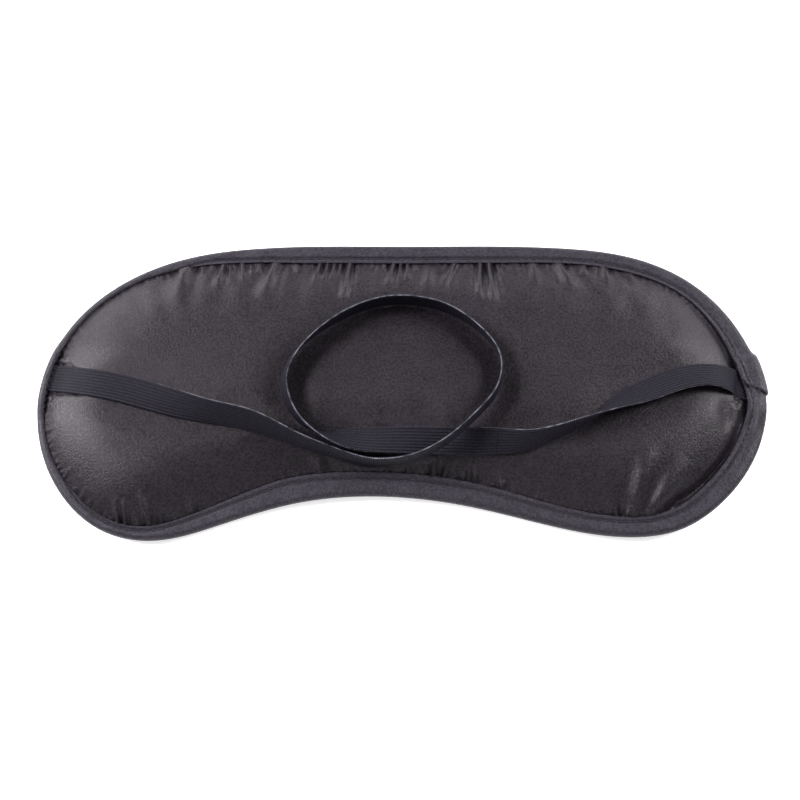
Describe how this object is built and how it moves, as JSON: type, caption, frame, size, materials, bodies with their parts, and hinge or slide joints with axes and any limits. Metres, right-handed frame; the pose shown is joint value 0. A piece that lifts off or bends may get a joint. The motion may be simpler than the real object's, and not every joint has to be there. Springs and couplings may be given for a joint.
{
  "type": "sleep eye mask",
  "caption": "Padded sleep eye mask with a nose notch, folded binding round its edge and an elastic head strap coiled on its rear face.",
  "frame": {"origin": "middle of the underside: the mask lies on its front cover", "axes": "+X across the face, +Y up to the forehead, +Z out of the rear face toward the wearer"},
  "size_m": [0.2104, 0.0885, 0.0197],
  "materials": {
    "satin": "satin",
    "binding_tape": "satin",
    "lining": "matte",
    "foam": "matte",
    "elastic": "matte",
    "thread": "satin"
  },
  "bodies": {
    "mask": {"front_cover": "satin", "blackout_lining": "lining", "foam_pad": "foam", "rear_cover": "satin", "edge_binding": "binding_tape", "rear_seam_thread": "thread", "front_seam_thread": "thread", "strap_left_run": "elastic", "strap_right_run": "elastic"},
    "strap": {"strap_loop": "elastic"}
  },
  "joints": [
    {"name": "strap_pull", "type": "slide", "parent": "mask", "child": "strap", "axis": [0, 0, 1], "range_m": [0, 0.06], "stiffness_N_per_m": 10, "deforming": ["strap_left_run", "strap_right_run"]}
  ]
}
